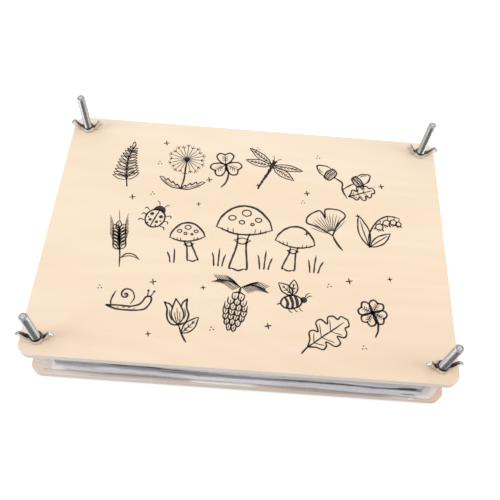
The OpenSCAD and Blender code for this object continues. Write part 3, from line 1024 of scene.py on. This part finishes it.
def make_print(surface):
    """Scattered plants and small animals, in rows round three toadstools."""
    s = Sketch(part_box("top_board")[1].z + 0.02 * MM)
    for x, y, turn, weight, form in ((-6, -27, 0, 1.5, (27, 34, 2, True)),
                                     (-40, -23, 6, 1.35, (15, 21, -3, True)),
                                     (31, -25, -5, 1.35, (18, 24, 2, False))):
        s.at(x, y, turn, 1.25, weight)
        draw_mushroom(s, *form)
    for x, h, lean in ((-24, 11, -2), (-21, 15, 0.5), (-18, 10, 2.5), (10, 12, -2), (13, 16, 1), (16, 10, 3),
                       (47, 11, -1), (50, 15, 1.5), (53, 10, 4), (-56, 9, -3), (-53, 12, -1)):
        s.at(x, -27)
        s.line([0, lean * 0.4 + 0.55j * h, lean + 1j * h], 0.8, ends=(1, 0.2))

    for x, y, turn, size, draw, form in (
            (-98, 38, 14, 1.12, draw_fern, [36]), (-56, 39, -4, 1.1, draw_seed_head, []),
            (-22, 66, 8, 1.05, draw_clover, [3, 1.0]), (17, 72, -24, 1.05, draw_dragonfly, []),
            (76, 42, -6, 1.1, draw_acorns, []), (92, -2, -12, 1.0, draw_bells, []),
            (-92, -34, 9, 1.05, draw_wheat, [34]), (-72, 10, -20, 1.15, draw_ladybird, []),
            (64, 6, 18, 1.05, draw_ginkgo, []), (-84, -64, 0, 1.15, draw_snail, []),
            (-44, -76, 12, 1.1, draw_tulip, []), (-4, -49, -8, 1.1, draw_cone, []),
            (34, -52, 12, 1.1, draw_bee, []), (46, -85, -4, 1.1, draw_oak_leaf, []),
            (92, -56, 18, 0.95, draw_clover, [4, 0.9])):
        s.at(x, y, turn, size)
        draw(s, *form)

    for x, y, kind in ((-76, 62, "dots"), (-34, 50, "star"), (5, 48, "plus"), (44, 44, "star"),
                       (52, 80, "dots"), (-40, 26, "plus"), (-78, 32, "dots"), (40, 34, "dots"),
                       (44, 6, "plus"), (-92, 28, "star"), (-66, -44, "star"), (-104, -52, "dots"),
                       (-30, -46, "plus"), (18, -72, "star"), (60, -38, "dots"), (-22, -78, "dots"),
                       (76, -32, "star"), (106, -28, "plus"), (84, -84, "dots"), (84, 26, "plus"),
                       (-72, 84, "star"), (2, 84, "dots"), (104, 56, "star"), (-64, -84, "plus")):
        s.at(x, y, 12)
        draw_filler(s, kind)
    made = add_mesh("plant_print", s.points, s.faces, surface, False)
    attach(made, "press_plate")


# Film bag

def crease(along, height, seed):
    """Soft, sharp and fine wrinkles that run mostly along the stack, from about 0 to 1.5."""
    soft = noise.noise(Vector((along * 0.012, height * 0.16, seed)))
    sharp = 1 - abs(noise.noise(Vector((along * 0.03 + 9, height * 0.3 + along * 0.01, seed + 3)))) * 2.2
    fine = 1 - abs(noise.noise(Vector((along * 0.11, height * 0.55, seed + 7)))) * 2
    return 0.5 + 0.5 * soft + 0.35 * max(sharp, 0) ** 3 + 0.12 * max(fine, 0) ** 2


def ease(t):
    """0 before 0, 1 after 1, and smooth between them."""
    t = min(max(t, 0.0), 1.0)
    return t * t * (3 - 2 * t)


def hold(t):
    """0 at the walls' upper and lower edges, 1 between them."""
    return min(1.0, 5 * t, 5 * (1 - t)) ** 0.6


def foot(x):
    """How far the front wall's foot stands out from the stack."""
    return 0.7 + 1.1 * ease((x + 70) / 50) + 0.8 * ease((x - 50) / 40) + 1.4 * ease((x - 108) / 22)


class FilmShape:
    """Surfaces of the bag in millimetres, each a function of two shares from 0 to 1."""

    wall_gap, end_gap, flat_gap = 0.3, 0.25, 0.15
    left_run, right_run = 14.5, 6.7

    def __init__(self):
        low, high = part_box("card_1")
        board_low, board_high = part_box("bottom_board")
        self.x0, self.x1, self.y0, self.y1 = low.x / MM, high.x / MM, low.y / MM, high.y / MM
        self.z0, self.z1 = low.z / MM - self.flat_gap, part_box("card_7")[1].z / MM + self.flat_gap
        self.left_x, self.right_x = self.x0 - self.left_run, self.x1 + self.right_run
        self.floor_z, self.edge_y = board_high.z / MM, board_low.y / MM

    def depth(self, share):
        return self.y0 - self.end_gap + (self.y1 - self.y0 + 2 * self.end_gap) * share

    def height(self, share):
        return self.z0 + (self.z1 - self.z0) * share

    def front(self, u, v):
        """Slack wall whose ends run on past the stack to the two folded corners."""
        x, z = self.left_x + (self.right_x - self.left_x) * u, self.height(v)
        past = x - self.x1
        round_corner = (1 - ease((x - self.left_x) / 2)) * 0.6
        out = foot(x) * (1 - v) ** 1.3 * (0.75 + 0.25 * ease(v / 0.2)) + 1.3 * crease(x, z, 1.5) * hold(v)
        droop = ease(past / 6) * 1.5 * ease(v)
        tucked = ease((past + 2) / 9) * 1.5 * (1 - ease(v / 0.35))
        return x - tucked, self.y0 - self.wall_gap - out + 2.0 * round_corner ** 2, z - droop

    def apron(self, u, v):
        """Slack film in front of the wall's foot, on the lower board, with a curled edge."""
        start, end = self.x0 - 7.0, self.right_x
        x = start + (end - start) * u
        past = x - self.x1
        near = self.y0 - self.wall_gap - foot(x) * 0.75
        wide = 1 - 0.9 * ease((past - 1) / (end - self.x1 - 1))
        far = near - (near - self.edge_y - 0.1) * wide * (0.97 + 0.03 * math.sin(x * 0.21))
        curl = 0.5 * wide * ease((v - 0.7) / 0.3) * (0.6 + 0.4 * math.sin(x * 0.13 + 1))
        curl += 1.2 * ease(1 - abs(past + 2) / 4) * ease((v - 0.4) / 0.6)
        wave = 0.25 + 0.2 * noise.noise(Vector((x * 0.06, v * 2, 5.5)))
        return x, near + (far - near) * v, self.floor_z + 0.15 + wave * math.sin(math.pi * v) + curl

    def back(self, u, v):
        x, z = self.x0 - self.wall_gap + (self.x1 - self.x0 + self.wall_gap) * u, self.height(v)
        return x, self.y1 + self.end_gap + 1.5 * crease(x, z, 21.5) * hold(v), z

    def left(self, u, v):
        """Left wall, which bulges towards the folded corner at its front end."""
        y, z = self.depth(u), self.height(v)
        behind = y - self.y0
        bulge = 4.9 * ease(1 - behind / 40) * (0.6 + 0.4 * hold(v))
        edge = min(1.0, 12 * u, 12 * (1 - u))
        wrinkle = 2.2 * crease(y, z, 41.5) * hold(v) * edge * ease(behind / 30)
        return self.x0 - self.wall_gap - bulge - wrinkle, y, z

    def left_ear(self, u, v):
        """Corner folded flat on the lower board, in front of the bolt, with a raised crease."""
        x = self.x0 - 4.8 - (17.0 - 3.6 * v ** 4) * u
        y = self.y0 + 4.5 - (7.7 - 0.4 * u) * v
        ridge = 0.8 * max(0.0, 1 - abs(across_ear(x - self.x0, y - self.y0)) / 0.8)
        return x, y, self.floor_z + 0.2 + ridge + 0.2 * math.sin(math.pi * u)

    def under(self, u, v):
        return self.x0 - self.wall_gap + (self.x1 - self.x0) * u, self.depth(v), self.z0

    def over(self, u, v):
        return *self.under(u, v)[:2], self.z1


def make_film(surface):
    """Bag of clear film over the stack, creased and baggy in front, with folded corners."""
    bag = FilmShape()
    points, faces = [], []
    for columns, rows, place in ((300, 34, bag.front), (300, 8, bag.apron), (200, 26, bag.back),
                                 (140, 30, bag.left), (20, 14, bag.left_ear),
                                 (60, 40, bag.under), (60, 40, bag.over)):
        start = len(points)
        for i in range(columns + 1):
            for j in range(rows + 1):
                points.append([value * MM for value in place(i / columns, j / rows)])
        for i in range(columns):
            for j in range(rows):
                a = start + i * (rows + 1) + j
                faces.append((a, a + rows + 1, a + rows + 2, a + 1))
    made = add_mesh("film_wrap", points, faces, surface)
    # Clear film lets the light through
    made.visible_shadow = False
    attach(made, "pack")
    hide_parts("film_bag")


# Set

SHOWN_RAYS = ("Is Camera Ray", "Is Glossy Ray", "Is Transmission Ray")


def make_floor():
    """Pale floor that looks white to the camera, in reflections and through clear pieces."""
    half, below = 6.0, 0.05 * MM
    surface, shader, place = material("floor", {"Roughness": 0.9, "Specular IOR Level": 0.1})
    root = Shade(surface.node_tree)
    shown = sum(root.node("LightPath", output=ray) for ray in SHOWN_RAYS).smaller(1.0)
    connect(shader, {
        "Base Color": place.noise(60, 2.0).between((0.60, 0.60, 0.60), (0.62, 0.62, 0.62)),
        "Emission Color": shown.between((0.0, 0.0, 0.0), (0.60, 0.60, 0.60)),
    })
    shader.inputs["Emission Strength"].default_value = 1.0
    corners = [(-half, -half, 0), (half, -half, 0), (half, half, 0), (-half, half, 0)]
    floor = add_mesh("floor", corners, [(0, 1, 2, 3)], surface)
    floor.location.z = cad_bounds[0][2] - below


def make_world():
    """White behind the object and soft grey light. Metal reflects a dark patch from overhead in front."""
    world = bpy.data.worlds.new("studio")
    bpy.context.scene.world = world
    world.use_nodes = True
    root = Shade(world.node_tree)
    camera_ray, glossy_ray, through = (root.node("LightPath", output=ray) for ray in SHOWN_RAYS)
    towards = root.node("TexCoord", output="Generated")
    patch = towards.dot((0.0, -0.5, 0.866)).step(0.6, 0.93)
    studio = patch.between((1.0, 1.0, 1.0), (0.03, 0.03, 0.035))
    soft = towards.axis("Z").step(0.0, 0.9).between((0.56, 0.55, 0.56), (0.74, 0.73, 0.74))
    sky = glossy_ray.between(soft, studio)
    background = world.node_tree.nodes["Background"]
    connect(background, {"Color": (camera_ray + through).smaller(1.0).between(sky, (1.0, 1.0, 1.0))})
    background.inputs["Strength"].default_value = 1.0


def make_lamps():
    """Three round soft lamps, each with its place, size and watts, that face the stack."""
    aim = Vector((0, 0, 0.03))
    for name, place, size, power in (("left", (-1.0, -0.35, 0.75), 0.8, 4.1),
                                     ("right", (1.1, -0.15, 0.7), 0.7, 4.05),
                                     ("above", (0.0, 0.25, 1.05), 1.5, 2.25)):
        light = bpy.data.lights.new(name, "AREA")
        light.shape, light.size, light.energy = "DISK", size, power
        lamp = add_object(name, light)
        lamp.location = place
        lamp.rotation_euler = (aim - Vector(place)).to_track_quat("-Z", "Y").to_euler()


def make_camera():
    """The photograph's view, with its focal length in pixels of the 500 pixel frame."""
    frame_px, focal_px = 500, 617.0
    turned, tilted, leaning = 4.944, 30.128, -3.326
    place = [value * MM for value in (-4.8, -243.9, 445.1)]
    camera = bpy.data.cameras.new("camera")
    camera.sensor_width = 36.0
    camera.lens = focal_px / frame_px * camera.sensor_width
    camera.clip_start, camera.clip_end = 0.01, 50
    seat = add_object("camera", camera)
    turn = Matrix.Identity(4)
    for angle, axis in ((turned, "Z"), (tilted, "X"), (leaning, "Y")):
        turn = turn @ Matrix.Rotation(math.radians(angle), 4, axis)
    seat.matrix_world = Matrix.Translation(place) @ turn
    bpy.context.scene.camera = seat


# Scene

def dress_node(name, surface):
    nodes[name].data.materials.clear()
    nodes[name].data.materials.append(surface)


plywood = wood_material()
grey_board = paper_material("grey_board", (0.34, 0.34, 0.36), (0.24, 0.24, 0.26), 0.12 * MM)
blotting = paper_material("blotting_paper", (0.70, 0.70, 0.72), (0.56, 0.56, 0.59), 0.2 * MM)
finishes = {"board": plywood, "card": grey_board, "blotter": blotting}
for name in nodes:
    for word, surface in finishes.items():
        if word in name.split("_"):
            dress_node(name, surface)

make_bolts(bolt_material())
make_nuts({side: nut_material(side) for side in ("left", "right")})
make_print(ink_material())
make_film(film_material())
make_floor()
make_world()
make_lamps()
make_camera()
bpy.context.scene.view_settings.view_transform = "Standard"
